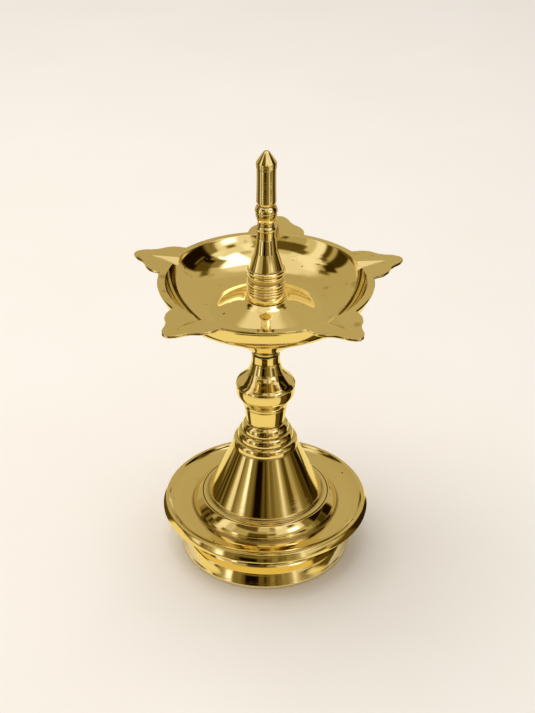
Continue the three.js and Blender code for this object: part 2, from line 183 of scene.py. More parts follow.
def brass(name, low=0.0, high=0.0, lines=0.0, pits=0.5, stains=0.0):
    """Cast brass, turned and hand polished. Its gloss is uneven in soft patches, faint polishing
    lines run round the axis, the hollows hold a brown film, and small pits are left in the metal.
    The tool's lines stand out by the share `lines` at the height low, in mm, and fade towards
    high. The share `stains` is how brown the spots are that oil has left."""
    material = bpy.data.materials.new(name)
    material.use_nodes = True
    tree = material.node_tree
    shader = tree.nodes["Principled BSDF"]
    shader.inputs["Metallic"].default_value = 1.0
    place = wire(tree, "ShaderNodeTexCoord").outputs["Object"]
    parts = wire(tree, "ShaderNodeSeparateXYZ", {0: place}).outputs

    def sum_of(kind, first, second=0.0):
        return wire(tree, "ShaderNodeMath", {0: first, 1: second}, operation=kind).outputs[0]

    def ramp_of(value, start, end, first=0.0, last=1.0):
        return wire(tree, "ShaderNodeMapRange", {
            "Value": value, "From Min": start, "From Max": end, "To Min": first, "To Max": last,
        }).outputs[0]

    def blend_of(share, first, second):
        return wire(tree, "ShaderNodeMix", {0: share, 6: first, 7: second}, data_type="RGBA").outputs[2]

    def spots_of(scale, detail):
        return wire(tree, "ShaderNodeTexNoise", {
            "Vector": place, "Scale": scale, "Detail": detail,
        }).outputs[0]

    squares = sum_of("ADD", sum_of("MULTIPLY", parts[0], parts[0]), sum_of("MULTIPLY", parts[1], parts[1]))
    radius = sum_of("SQRT", squares)
    safe = sum_of("MAXIMUM", radius, 1e-5)
    across, along = sum_of("DIVIDE", parts[0], safe), sum_of("DIVIDE", parts[1], safe)

    def turned_of(around):
        """Noise that changes every 0.4 mm along the profile and `around` times slower round it."""
        lathe = wire(tree, "ShaderNodeCombineXYZ", {
            0: radius, 1: parts[2], 2: sum_of("MULTIPLY", across, 0.006 / around),
        }).outputs[0]
        return wire(tree, "ShaderNodeTexNoise", {
            "Vector": lathe, "W": sum_of("MULTIPLY", along, 12.0 / around), "Scale": 2400.0, "Detail": 1.0,
        }, noise_dimensions="4D").outputs[0]

    patches = spots_of(55.0, 3.0)
    film = wire(tree, "ShaderNodeAttribute", attribute_name="hollow").outputs["Fac"]
    specks = wire(tree, "ShaderNodeTexVoronoi", {"Vector": place, "Scale": 260.0}).outputs["Distance"]
    pit_size = ramp_of(spots_of(90.0, 2.0), 0.52, 0.72, 0.0, 0.17)
    pit = sum_of("MULTIPLY", sum_of("LESS_THAN", specks, pit_size), pits)
    stain = sum_of("MULTIPLY", ramp_of(spots_of(170.0, 6.0), 0.62, 0.70), stains)

    clean = blend_of(patches, (0.91, 0.79, 0.43, 1), (0.88, 0.74, 0.39, 1))
    stained = blend_of(stain, clean, (0.45, 0.29, 0.11, 1))
    filmed = blend_of(sum_of("MULTIPLY", film, 0.55), stained, (0.16, 0.09, 0.03, 1))
    colour = blend_of(pit, filmed, (0.10, 0.06, 0.02, 1))
    tree.links.new(colour, shader.inputs["Base Color"])
    gloss = ramp_of(patches, 0.3, 0.7, 0.03, 0.075)
    dull = sum_of("MULTIPLY", sum_of("MAXIMUM", film, pit), 0.3)
    dull = sum_of("ADD", dull, sum_of("MULTIPLY", stain, 0.05))
    tree.links.new(sum_of("ADD", gloss, dull), shader.inputs["Roughness"])
    height = sum_of("MULTIPLY", turned_of(5.0), 0.4)
    height = sum_of("ADD", height, sum_of("MULTIPLY", spots_of(140.0, 1.0), 4.0))
    if lines:
        ridges = wire(tree, "ShaderNodeTexNoise", {
            "W": sum_of("MULTIPLY", parts[2], 2600.0), "Scale": 1.0, "Detail": 0.0,
        }, noise_dimensions="1D").outputs[0]
        above = ramp_of(parts[2], (low - 1) * MM, low * MM)
        band = sum_of("MULTIPLY", above, ramp_of(parts[2], low * MM, high * MM, 1.0, 0.0))
        cut = sum_of("ADD", sum_of("MULTIPLY", ridges, 12.0), sum_of("MULTIPLY", turned_of(1.0), 4.0))
        height = sum_of("ADD", height, sum_of("MULTIPLY", sum_of("MULTIPLY", cut, band), lines))
    height = sum_of("SUBTRACT", height, sum_of("MULTIPLY", pit, 6.0))
    bump = wire(tree, "ShaderNodeBump", {
        "Height": height, "Distance": 0.000004, "Strength": 1.0,
    }).outputs[0]
    tree.links.new(bump, shader.inputs["Normal"])
    return material


base_profile, base_hollow = softened([
    (37.8, 0), (41.0, 0), (41.4, 0.3), curve((41.45, 0.5), (41.3, 1.7), (40.7, 2.4), 8),
    (40.62, 2.65), (38.95, 6.8), (38.75, 7.05),
    curve((38.5, 7.15), (36.1, 8.3), (34.9, 11.0), 16),
    curve((34.8, 11.3), (33.9, 20.2), (44.5, 21.5), 24),
    (49.4, 22.05), (49.9, 22.3), (50.0, 22.7), (48.8, 25.9), (48.6, 26.15), (47.3, 26.3), (47.15, 26.25),
    curve((47.0, 26.1), (45.7, 24.5), (42.5, 24.0), 14), (35.5, 23.1),
    (35.3, 23.3), (34.95, 24.9), curve((34.85, 25.3), (33.6, 27.4), (31.3, 29.5), 20),
    (30.75, 29.45), (30.6, 29.2), (30.6, 26.6), (4.3, 26.6), (4.3, 14), (9, 14), (9, 21.9), (10.5, 23.4),
    (28.6, 23.4), (29.6, 20.4), (31.6, 17.5), (31.6, 11.0), (34.5, 8.2), (37.8, 3.4),
], 0.12, 230)
base = turned("lamp_base", base_profile, base_hollow)
base.data.materials.append(brass("base_brass", pits=0.9, stains=0.15))
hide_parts("base")
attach(base, "column")

# The pedestal is a hollow brass cone on a flat flange that drops into the base's seat. Three
# stepped rings are turned on its top, and the tool's lines still show near the cone's foot.
ring_1 = curve((11.3, 65.75), (11.25, 68.4), (9.6, 69.85), 12)
ring_2 = curve((13.4, 61.65), (13.35, 64.0), (12.25, 65.1), 12)
ring_3 = curve((15.7, 57.45), (15.6, 60.2), (14.5, 61.0), 12)
pedestal_profile, pedestal_hollow = softened([
    (24.6, 26.8), (30.3, 26.8), (30.3, 29.3), (30.1, 29.5), (28.6, 29.55),
    curve((28.4, 29.6), (27.45, 29.8), (27.4, 31.2), 8),
    (15.4, 56.9), (15.25, 57.15), (15.45, 57.3),
    ring_3, (14.0, 61.15), (13.15, 61.35), (13.15, 61.5),
    ring_2, (11.7, 65.3), (11.1, 65.5), (11.1, 65.6),
    ring_1, (9.1, 70), (6.5, 70), (6.5, 64), (4.3, 64), (4.3, 61.2), (6.3, 61.2),
    (12.5, 54.4), (24.6, 31.2),
], 0.09, 230)
pedestal = turned("lamp_pedestal", pedestal_profile, pedestal_hollow)
pedestal.data.materials.append(brass("pedestal_brass", low=31.5, high=50, lines=0.3, pits=0.2))
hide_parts("pedestal")
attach(pedestal, "column")

# The stem is one brass turning: a collar, a knop with a sharp edge and a hollow-sided neck. Its
# spigot drops into the pedestal, and blind holes in its ends take the tie rod and the stud.
stem_profile, stem_hollow = softened([
    (0, 88.2), (4.3, 88.2), (4.3, 64.7), (6.2, 64.7), (6.2, 70.2), (8.9, 70.2), (9.1, 70.4), (9.25, 71.5),
    (10.0, 77.6), (10.2, 78.6), (10.1, 78.9), (10.4, 79.3),
    curve((10.45, 79.6), (10.6, 81.3), (11.7, 82.4), 10), (12.9, 84.2),
    curve((13.2, 84.7), (13.75, 86.0), (13.8, 87.6), 10), (13.95, 90.0),
    (14.1, 90.35), (14.05, 90.6),
    curve((13.95, 91.0), (13.5, 92.1), (12.1, 93.2), 10),
    curve((10.3, 94.9), (8.0, 97.2), (7.6, 99.3), 12), (7.1, 100.8),
    curve((6.9, 101.6), (6.6, 102.6), (6.6, 104.0), 8),
    (6.6, 106.8), (6.4, 107.0), (4.3, 107), (4.3, 93.8), (0, 93.8),
], 0.1, 230, closed=False)
stem = turned("lamp_stem", stem_profile, stem_hollow, closed=False)
stem.data.materials.append(brass("stem_brass", pits=0.3))
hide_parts("stem")
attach(stem, "column")

# The oil bowl is one brass casting: a shallow dish on a conical boss, with a flat rim and five
# leaf-shaped spouts level with it. Each spout has a V channel for a wick and a rib below. The
# dish sits on the stud, and the finial holds it down.
spout_angles = np.radians([18.9, 84.3, 156.4, 230.2, 306.9])
rim_top, rim_foot, rim_radius, mouth_radius = 145.3, 144.0, 49.0, 45.6
lip_round, mouth_wear = 0.35, 0.3
channel_depth, channel_half, channel_length = 3.0, 3.3, 12.4
rib_depth, rib_length, rib_end = 3.7, 13.6, 60.5
# The wall's outside is an arc of radius outer_turn round (turn_r, turn_z), from outer_start
# degrees up to the rim. Its inside is one of radius inner_turn, which leans mouth_lean degrees
# from upright at the mouth and ends at inner_end degrees, where the floor begins.
turn_r, turn_z, outer_turn, outer_start = 32.7, 145.3, 15.0, -59.0
inner_turn, mouth_lean, inner_end = 20.0, 17.0, -78.0
leaf, _ = softened([
    (44.0, 13.4), (47.6, 13.4), (49.3, 13.35), (52.5, 12.7), (55.4, 10.8), (58.0, 7.5),
    (60.7, 5.6), (63.8, 4.3), (66.4, 1.8), (66.9, 0), (66.4, -1.8), (63.8, -4.3), (44, -13.4),
], 0.45, 400)
leaf = leaf[(leaf[:, 1] > 0) & (leaf[:, 0] > 45.5)]
leaf_turn = np.arctan2(leaf[:, 1], leaf[:, 0])
order = np.argsort(leaf_turn)
leaf_turn, leaf_reach = leaf_turn[order], np.hypot(leaf[:, 0], leaf[:, 1])[order]

# Each spout has 100 places around, closest together at its middle line, and `offset` is how
# far each place is turned from that line.
share = np.linspace(-1, 1, 101)[:-1]
spread = np.sign(share) * np.abs(share) ** 1.3
before = (spout_angles - np.roll(spout_angles, 1)) % (2 * np.pi) / 2
after = np.roll(before, -1)
offset = np.where(spread < 0, spread * before[:, None], spread * after[:, None])
bowl_angle = (spout_angles[:, None] + offset).ravel()
offset = offset.ravel()
reach = np.maximum(rim_radius, np.interp(np.abs(offset), leaf_turn, leaf_reach, right=rim_radius))
channel_slope = channel_half / channel_length
channel_edge = channel_half + channel_slope * mouth_radius
channel_edge = channel_edge / (np.abs(np.sin(offset)) + channel_slope * np.cos(offset))
channel_edge = np.clip(channel_edge, mouth_radius + mouth_wear, reach - 0.6)


def channel_drop(r):
    """Depth of the V channel: channel_depth times what is left of 1 after the share of its length
    gone outwards from the mouth and the share of its half width gone aside. Beside it the
    mouth's edge is worn to a quarter circle of radius mouth_wear."""
    x, y = r * np.cos(offset), np.abs(r * np.sin(offset))
    inside = np.clip(mouth_radius + mouth_wear - r, 0, mouth_wear)
    worn = mouth_wear - np.sqrt(mouth_wear ** 2 - inside ** 2)
    left = 1 - (x - mouth_radius) / channel_length - y / channel_half
    return np.maximum(worn, channel_depth * left)


def rib_drop(r):
    """Depth of the rib under a spout: rib_depth at its root, falling evenly to nothing at the
    radius rib_end. Its sides fall as 3 t^2 - 2 t^3 from 1.5 mm to 5 mm off the middle line at
    the root, and close in as the rib gets lower."""
    x, y = r * np.cos(offset), np.abs(r * np.sin(offset))
    left = np.clip((rib_end - x) / rib_length, 0, 1)
    side = np.clip((5 * left - y) / np.maximum(3.5 * left, 1e-6), 0, 1)
    return rib_depth * left * side * side * (3 - 2 * side)


# Below, a cone runs up from the boss into a ball's surface, and the wall's arc goes on from there.
ball_radius, ball_height = 78.9, 200.19
belly_r = np.linspace(27, 40.2, 30)
belly = np.column_stack([belly_r, ball_height - np.sqrt(ball_radius ** 2 - belly_r ** 2)])
underside, under_hollow = softened([
    (4.3, 112), (4.3, 107.9), (6.5, 107.9), (6.7, 108.3), (6.7, 108.9), (9.1, 110.9), (26.1, 125.7),
    belly, (42.6, 134.0), (42.6, 130), (30, 112),
], 0.14, 90)
start = np.argmin(np.hypot(underside[:, 0] - 4.3, underside[:, 1] - 111))
stop = np.argmin(np.hypot(underside[:, 0] - 40.0, underside[:, 1] - 132.2))
under_rows = np.roll(underside, -start, axis=0)[:(stop - start) % len(underside)]
under_shade = np.roll(under_hollow, -start)[:len(under_rows)]
lowest = rim_foot - rib_drop(47.0)
top_angle = np.degrees(np.arcsin((lowest - turn_z) / outer_turn))
turn_rows = np.radians(outer_start + (top_angle - outer_start) * np.linspace(0, 1, 18)[:, None])
outer_r, outer_z = turn_r + outer_turn * np.cos(turn_rows), turn_z + outer_turn * np.sin(turn_rows)
outer = np.stack([outer_r, outer_z], -1)
wall = turn_r + np.sqrt(outer_turn ** 2 - (turn_z - lowest) ** 2)
u = np.linspace(0, 1, 13)[1:, None]
below_r = wall + (reach - lip_round - wall) * u
below = np.stack([below_r, rim_foot - rib_drop(below_r) + 0 * below_r], -1)
lip_angle = np.radians(np.linspace(-75, 75, 7))[:, None]
lip_z = (rim_foot + rim_top) / 2 + 0.65 * np.sin(lip_angle) + 0 * reach
lip = np.stack([reach - lip_round + lip_round * np.cos(lip_angle), lip_z], -1)
u = np.linspace(1, 0, 8)[:, None]
flat_r = channel_edge + (reach - lip_round - channel_edge) * u
flat = np.stack([flat_r, rim_top + 0 * flat_r], -1)
inner_r = mouth_radius - inner_turn * np.cos(np.radians(mouth_lean))
inner_z = rim_top + inner_turn * np.sin(np.radians(mouth_lean))
# The mouth is where the wall's inside meets the channel's bottom, found in twelve steps.
mouth_r = mouth_radius + 0 * offset
for _ in range(12):
    mouth_r = inner_r + np.sqrt(inner_turn ** 2 - (rim_top - channel_drop(mouth_r) - inner_z) ** 2)
u = np.linspace(1, 0, 9)[1:, None]
cut_r = mouth_r + (channel_edge - mouth_r) * u
cut = np.stack([cut_r, rim_top - channel_drop(cut_r)], -1)
mouth_angle = np.degrees(np.arcsin((rim_top - channel_drop(mouth_r) - inner_z) / inner_turn))
wall_rows = np.radians(mouth_angle + (inner_end - mouth_angle) * np.linspace(0.02, 1, 26)[:, None])
inner = np.stack([inner_r + inner_turn * np.cos(wall_rows), inner_z + inner_turn * np.sin(wall_rows)], -1)
floor_r = inner_r + inner_turn * np.cos(np.radians(inner_end))
floor_z = inner_z + inner_turn * np.sin(np.radians(inner_end))
# The floor falls by floor_fall for each mm inwards, as far as 25.5 mm from the axis. From 22.4 to
# 9.4 mm the mound rises evenly by 4.42 mm and by 1.08 exp(10 (t - 1)) mm more, t going from 0 to 1.
floor_fall, floor_end = 0.212, 25.5
climb = np.linspace(0, 1, 24)
mound = np.column_stack([22.4 - 13.0 * climb, 130.5 + 4.42 * climb + 1.08 * np.exp(10.0 * (climb - 1))])
floor_shape, _ = softened([
    (floor_r + 4, floor_z + 1.3), (floor_r + 2, floor_z + 0.5), (floor_r, floor_z),
    (floor_end, floor_z - floor_fall * (floor_r - floor_end)), mound, (4.3, 136), (4.3, 128), (40, 120),
], 0.4, 120)
begin = np.argmin(np.hypot(floor_shape[:, 0] - floor_r, floor_shape[:, 1] - floor_z))
finish_at = np.argmin(np.hypot(floor_shape[:, 0] - 4.3, floor_shape[:, 1] - 129))
floor_rows = np.roll(floor_shape, -begin, axis=0)[1:(finish_at - begin) % len(floor_shape)]


def ring_of(rows):
    """The same profile of radius and height at every place around the bowl."""
    return np.stack([rows[:, :1] + 0 * bowl_angle, rows[:, 1:] + 0 * bowl_angle], -1)


bowl_rows = np.concatenate([ring_of(under_rows), outer, below, lip, flat, cut, inner, ring_of(floor_rows)])
r, z = bowl_rows[..., 0], bowl_rows[..., 1]
bowl_points = np.stack([r * np.cos(bowl_angle), r * np.sin(bowl_angle), z], -1).reshape(-1, 3)
# Brown film lies in the underside's corners, within about 0.5 mm of the bottom of each channel,
# and in worn marks along the lip: random numbers averaged over five places.
bowl_hollow = np.zeros(r.shape)
bowl_hollow[:len(under_rows)] = under_shade[:, None]
first_lip = len(under_rows) + len(outer) + len(below)
first_cut = first_lip + len(lip) + len(flat)
groove = np.exp(-(cut_r * np.sin(offset) / 0.5) ** 2) * (cut[..., 1] < rim_top - 0.4)
bowl_hollow[first_cut:first_cut + len(cut)] = groove
marks = np.convolve(np.random.default_rng(5).random(len(bowl_angle) + 4), np.ones(5) / 5, "valid")
bowl_hollow[first_lip:first_lip + len(lip)] = np.clip(6 * (marks - 0.52), 0, 0.8)
bowl_faces = skin(len(bowl_rows), len(bowl_angle), True)
bowl = mesh_of("oil_bowl", bowl_points, bowl_faces, bowl_hollow.ravel(), sharp=25)
bowl.data.materials.append(brass("bowl_brass", pits=0.9, stains=0.5))
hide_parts("bowl")
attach(bowl, "oil_bowl")

# A steel stud in the top of the stem carries the bowl, and a tie rod of the same size clamps
# base, pedestal and stem from below, with a nut on a washer. Their threads are rolled, 8 mm.


def threaded_rod(name, foot, top, around=48):
    """A rod between two heights: r = crest - depth V(z / pitch - a / 2 pi), where V is a wave of
    straight flanks from 0 to 1 with its crests and roots cut flat. Each end is a cone that starts
    at the radius tip and widens by 1 mm for each mm."""
    pitch, crest, depth, tip = 1.25, 3.9, 0.62, 3.2
    z = np.linspace(foot, top, int((top - foot) / pitch * 8) + 1)[:, None]
    angle = 2 * np.pi * np.arange(around) / around
    turn = (z / pitch - angle / (2 * np.pi)) % 1
    flank = np.clip((np.abs(2 * turn - 1) - 0.15) / 0.7, 0, 1)
    r = np.minimum(crest - depth * flank, tip + np.minimum(z - foot, top - z))
    points = np.stack([r * np.cos(angle), r * np.sin(angle), z + 0 * angle], -1).reshape(-1, 3)
    points = np.vstack([points, [[0, 0, foot], [0, 0, top]]])
    hollow = np.concatenate([(flank * (r < 3.5)).ravel(), [0, 0]])
    return mesh_of(name, points, skin(len(z), around, False), hollow, sharp=40)


steel = bpy.data.materials.new("zinc_steel")
steel.use_nodes = True
tree = steel.node_tree
shader = tree.nodes["Principled BSDF"]
shader.inputs["Metallic"].default_value = 1.0
place = wire(tree, "ShaderNodeTexCoord").outputs["Object"]
drawn = wire(tree, "ShaderNodeMapping", {"Vector": place, "Scale": (1, 1, 0.12)}).outputs[0]
marks = wire(tree, "ShaderNodeTexNoise", {"Vector": drawn, "Scale": 3200.0, "Detail": 2.0}).outputs[0]
blotch = wire(tree, "ShaderNodeTexNoise", {"Vector": place, "Scale": 260.0, "Detail": 4.0}).outputs[0]
grime = wire(tree, "ShaderNodeAttribute", attribute_name="hollow").outputs["Fac"]
zinc = wire(tree, "ShaderNodeMix", {0: blotch, 6: (0.66, 0.65, 0.62, 1), 7: (0.46, 0.45, 0.42, 1)},
            data_type="RGBA").outputs[2]
dirt = wire(tree, "ShaderNodeMath", {0: grime, 1: 0.75}, operation="MULTIPLY").outputs[0]
dirty = wire(tree, "ShaderNodeMix", {0: dirt, 6: zinc, 7: (0.09, 0.07, 0.045, 1)},
             data_type="RGBA").outputs[2]
tree.links.new(dirty, shader.inputs["Base Color"])
dull = wire(tree, "ShaderNodeMapRange", {"Value": blotch, "From Min": 0.3, "From Max": 0.7,
                                          "To Min": 0.24, "To Max": 0.42}).outputs[0]
tree.links.new(dull, shader.inputs["Roughness"])
scratch = wire(tree, "ShaderNodeBump", {"Height": marks, "Distance": 0.00001, "Strength": 0.5}).outputs[0]
tree.links.new(scratch, shader.inputs["Normal"])

stud = threaded_rod("bowl_stud_thread", 94.0, 150.0)
rod = threaded_rod("tie_rod_thread", 0.5, 88.0)

washer_profile, washer_hollow = softened([(4.2, 12.3), (8.0, 12.3), (8.0, 13.8), (4.2, 13.8)], 0.1, 60)
washer = turned("nut_washer", washer_profile, washer_hollow, around=180)

# The nut's grid runs over bore, foot, chamfer, sides, chamfer, top and bore: r is the smaller of
# the hexagon nut_flat / cos(angle from the flat) and the round profile below.
nut_foot, nut_top, nut_flat = 5.6, 12.1, 6.5
nut_half = np.array([
    (3.97, 0.45), (4.4, 0), (5.2, 0), (6.25, 0), (6.5, 0.14), (6.75, 0.29), (7.0, 0.43),
    (7.25, 0.58), (7.52, 0.74), (7.52, 1.6), (7.52, 2.6),
])
nut_rows = np.vstack([nut_half * [1, 1] + [0, nut_foot], nut_half[::-1] * [1, -1] + [0, nut_top]])
nut_angle = 2 * np.pi * np.arange(360) / 360
from_flat = (nut_angle % (np.pi / 3)) - np.pi / 6
nut_r = np.minimum(nut_rows[:, :1], nut_flat / np.cos(from_flat))
nut_z = nut_rows[:, 1:] + 0 * nut_r
nut_points = np.stack([nut_r * np.cos(nut_angle), nut_r * np.sin(nut_angle), nut_z], -1).reshape(-1, 3)
nut = mesh_of("hex_nut", nut_points, skin(len(nut_rows), 360, True), np.zeros(nut_r.size), sharp=12)

for piece, node in ((stud, "bowl_stud"), (rod, "tie_rod"), (washer, "base_washer"), (nut, "base_nut")):
    piece.data.materials.append(steel)
    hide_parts(node)
    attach(piece, "column")

# Two dark leather rings keep oil from creeping out: one between stem and bowl, which turns with
# the bowl, and one in the foot of the finial. They are punched by hand, so their edges wander.
leather = bpy.data.materials.new("oiled_leather")
leather.use_nodes = True
tree = leather.node_tree
shader = tree.nodes["Principled BSDF"]
place = wire(tree, "ShaderNodeTexCoord").outputs["Object"]
grain = wire(tree, "ShaderNodeTexVoronoi", {"Vector": place, "Scale": 2600.0}).outputs["Distance"]
stain = wire(tree, "ShaderNodeTexNoise", {"Vector": place, "Scale": 420.0, "Detail": 3.0}).outputs[0]
hide = wire(tree, "ShaderNodeMix", {0: stain, 6: (0.055, 0.034, 0.02, 1), 7: (0.022, 0.014, 0.009, 1)},
            data_type="RGBA").outputs[2]
tree.links.new(hide, shader.inputs["Base Color"])
oily = wire(tree, "ShaderNodeMapRange", {"Value": stain, "From Min": 0.3, "From Max": 0.7,
                                          "To Min": 0.35, "To Max": 0.6}).outputs[0]
tree.links.new(oily, shader.inputs["Roughness"])
pores = wire(tree, "ShaderNodeBump", {"Height": grain, "Distance": 0.00004, "Strength": 0.6}).outputs[0]
tree.links.new(pores, shader.inputs["Normal"])


def leather_ring(name, inner, outer, foot, top, seed):
    """A ring with rounded edges: its profile of radius and height, where the part beyond the hole
    is scaled by 1 - 0.03 (1 + w(a)), with w the mean of five sines of random phase."""
    height = (foot + top) / 2
    half = (top - foot) / 2
    side = np.radians(np.linspace(-90, 90, 9))
    outer_edge = np.column_stack([outer - half + half * np.cos(side), height + half * np.sin(side)])
    inner_edge = np.column_stack([inner + 0.1 - 0.1 * np.cos(side), height + half * np.sin(side)])[::-1]
    across = np.linspace(inner + 0.1, outer - half, 8)[1:-1]
    rows = np.vstack([outer_edge, np.column_stack([across[::-1], 0 * across + top]), inner_edge,
                      np.column_stack([across, 0 * across + foot])])
    angle = 2 * np.pi * np.arange(180) / 180
    phase = np.random.default_rng(seed).uniform(0, 2 * np.pi, 5)
    wander = sum(np.sin((k + 2) * angle + phase[k]) for k in range(5)) / 5
    r = inner + (rows[:, :1] - inner) * (1 - 0.03 * (1 + wander))
    points = np.stack([r * np.cos(angle), r * np.sin(angle), rows[:, 1:] + 0 * angle], -1).reshape(-1, 3)
    return mesh_of(name, points, skin(len(rows), 180, True), np.zeros(r.size))


lower_ring = leather_ring("neck_leather_ring", 4.25, 6.3, 107.05, 107.85, 3)
upper_ring = leather_ring("finial_leather_ring", 4.25, 7.0, 136.05, 136.75, 4)
for piece, node, body in (
    (lower_ring, "lower_seal", "turning_seal"), (upper_ring, "upper_seal", "rising_seal"),
):
    piece.data.materials.append(leather)
    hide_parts(node)
    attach(piece, body)

# The finial is one brass turning: a drum of rounded rings, two beads, a hollow-sided cone, a
# beaded neck and a plain spire with a pointed tip. It is bored from below and screws down on the
# stud.


def ring(foot, top, inner, outer):
    """Profile of a rounded ring: half an ellipse from its foot to its top, in mm."""
    swing = np.radians(np.linspace(-88, 88, 14))
    height = (foot + top) / 2 + (top - foot) / 2 * np.sin(swing)
    return np.column_stack([inner + (outer - inner) * np.cos(swing), height])


finial_profile, finial_hollow = softened([
    (0, 151.5), (4.3, 151.5), (4.3, 136.9), (7.3, 136.9), (7.3, 136.2), (8.7, 136.2), (8.95, 136.4),
    curve((8.95, 136.6), (8.8, 138.2), (8.1, 139.3), 8),
    ring(139.4, 140.9, 8.1, 8.85), ring(140.9, 142.2, 8.15, 8.8), ring(142.2, 143.5, 8.15, 8.8),
    ring(143.5, 145.3, 8.1, 8.75), (7.6, 145.6), (7.45, 146.7),
    ring(146.9, 149.1, 7.5, 8.4), ring(149.2, 151.3, 7.6, 8.75),
    curve((7.9, 151.5), (6.1, 156.6), (5.3, 159.4), 20), (4.75, 163.2), (4.5, 165.6), (4.35, 166.3),
    (4.25, 166.5), (4.25, 170.1), (4.35, 170.3), curve((4.55, 170.7), (4.5, 171.9), (3.95, 172.2), 8),
    (3.85, 172.4), (3.85, 174.0), curve((3.9, 174.4), (4.75, 175.9), (4.8, 178.2), 10), (4.75, 178.6),
    curve((4.95, 178.8), (5.35, 180.2), (4.3, 181.6), 10), (3.95, 181.9), (3.95, 182.3),
    (4.42, 183.6), (4.42, 184.5), (4.28, 191), (4.25, 199.0),
    (4.15, 199.2), (4.5, 199.5), (4.6, 201.9), (4.45, 202.2),
    curve((3.87, 203.1), (2.45, 205.3), (1.4, 206.8), 10), (0.9, 207.25), (0, 207.4),
], 0.06, 360, closed=False)
finial = turned("lamp_finial", finial_profile, finial_hollow, closed=False, around=256)
finial.data.materials.append(brass("finial_brass", low=182.5, high=202, lines=0.3, pits=0.2))
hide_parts("finial")
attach(finial, "top")

# The lamp stands alone in a plain studio: a pale warm floor that runs back into the distance,
# even light from all round and one large soft lamp above and to the left, for the soft shadow.
floor_half = 6
floor_data = bpy.data.meshes.new("studio_floor")
floor_corners = [(x * floor_half, y * floor_half, 0) for x, y in ((-1, -1), (1, -1), (1, 1), (-1, 1))]
floor_data.from_pydata(floor_corners, [], [(0, 1, 2, 3)])
studio_floor = bpy.data.objects.new("studio_floor", floor_data)
bpy.context.collection.objects.link(studio_floor)
paper = bpy.data.materials.new("studio_paper")
paper.use_nodes = True
tree = paper.node_tree
place = wire(tree, "ShaderNodeTexCoord").outputs["Object"]
mottle = wire(tree, "ShaderNodeTexNoise", {"Vector": place, "Scale": 9.0, "Detail": 6.0}).outputs[0]
pale = wire(tree, "ShaderNodeMix", {0: mottle, 6: (0.89, 0.84, 0.785, 1), 7: (0.85, 0.79, 0.72, 1)},
            data_type="RGBA").outputs[2]
tree.links.new(pale, tree.nodes["Principled BSDF"].inputs["Base Color"])
tree.nodes["Principled BSDF"].inputs["Roughness"].default_value = 0.95
tree.nodes["Principled BSDF"].inputs["Specular IOR Level"].default_value = 0.0
floor_data.materials.append(paper)

world = bpy.data.worlds.new("studio")
bpy.context.scene.world = world
world.use_nodes = True
world.node_tree.nodes["Background"].inputs["Color"].default_value = (1.0, 0.99, 0.97, 1)
world.node_tree.nodes["Background"].inputs["Strength"].default_value = 0.64

lamp_data = bpy.data.lights.new("large_soft_lamp", "AREA")
lamp_data.shape = "RECTANGLE"
lamp_data.size, lamp_data.size_y = 1.3, 1.3
lamp_data.energy = 11.5
lamp_data.color = (1.0, 0.98, 0.94)
soft_lamp = bpy.data.objects.new("large_soft_lamp", lamp_data)
bpy.context.collection.objects.link(soft_lamp)
soft_lamp.location = (-0.3, 0.15, 1.3)
lamp_aim = Vector((0, 0, 0.05)) - Vector(soft_lamp.location)
soft_lamp.rotation_euler = lamp_aim.to_track_quat("-Z", "Y").to_euler()
soft_lamp.visible_glossy = False
soft_lamp.visible_camera = False

# A round tent, 300 mm from the lamp, is what the polished brass mirrors. It glows by itself with painted
# light: white and black cards are painted on its glow, and they give the brass its painted highlights
# and dark reflections. It shows only in reflections, so the floor's light is the plain light above.
# Its rows run over a floor with a hole for the lamp, an upright wall and a domed roof.
tent_hole, tent_wall, tent_foot, tent_eaves, tent_roof = 58, 300, 1, 280, 260
tent_floor = np.linspace(0, 1, 40)[:, None]
tent_rise = np.linspace(0, 1, 57)[1:, None]
tent_arch = np.radians(np.linspace(2, 89.5, 50))[:, None]
tent_r = np.vstack([
    tent_hole + (tent_wall - tent_hole) * tent_floor,
    tent_wall + 0 * tent_rise,
    tent_wall * np.cos(tent_arch),
])
tent_z = np.vstack([
    tent_foot + 0 * tent_floor,
    tent_foot + (tent_eaves - tent_foot) * tent_rise,
    tent_eaves + tent_roof * np.sin(tent_arch),
])
tent_place = np.vstack([tent_r[:len(tent_floor)] - tent_wall, tent_z[len(tent_floor):]])
tent_angle = 2 * np.pi * np.arange(720) / 720
aside = np.degrees(np.arctan2(np.cos(tent_angle), -np.sin(tent_angle))) + 0 * tent_r
height = tent_place + 0 * tent_angle


def hang(shade, first, last, foot, top, level, edge=3.0, lean=0.0, fade=12.0):
    """Paint a card of one brightness on the tent: between two azimuths in degrees, 0 towards the
    camera and positive to its right, which move by `lean` for each 100 mm above its foot, and
    between two heights in mm. Below 0 they are distances in from the wall on the tent's floor.
    Each side fades as 3 t^2 - 2 t^3 over `edge` degrees or `fade` mm."""
    turn = aside - lean * (height - foot) / 100

    def ramp(distance, width):
        t = np.clip(distance / width + 0.5, 0, 1)
        return t * t * (3 - 2 * t)

    cover = ramp(turn - first, edge) * ramp(last - turn, edge)
    cover = cover * ramp(height - foot, fade) * ramp(top - height, fade)
    return shade + (level - shade) * cover


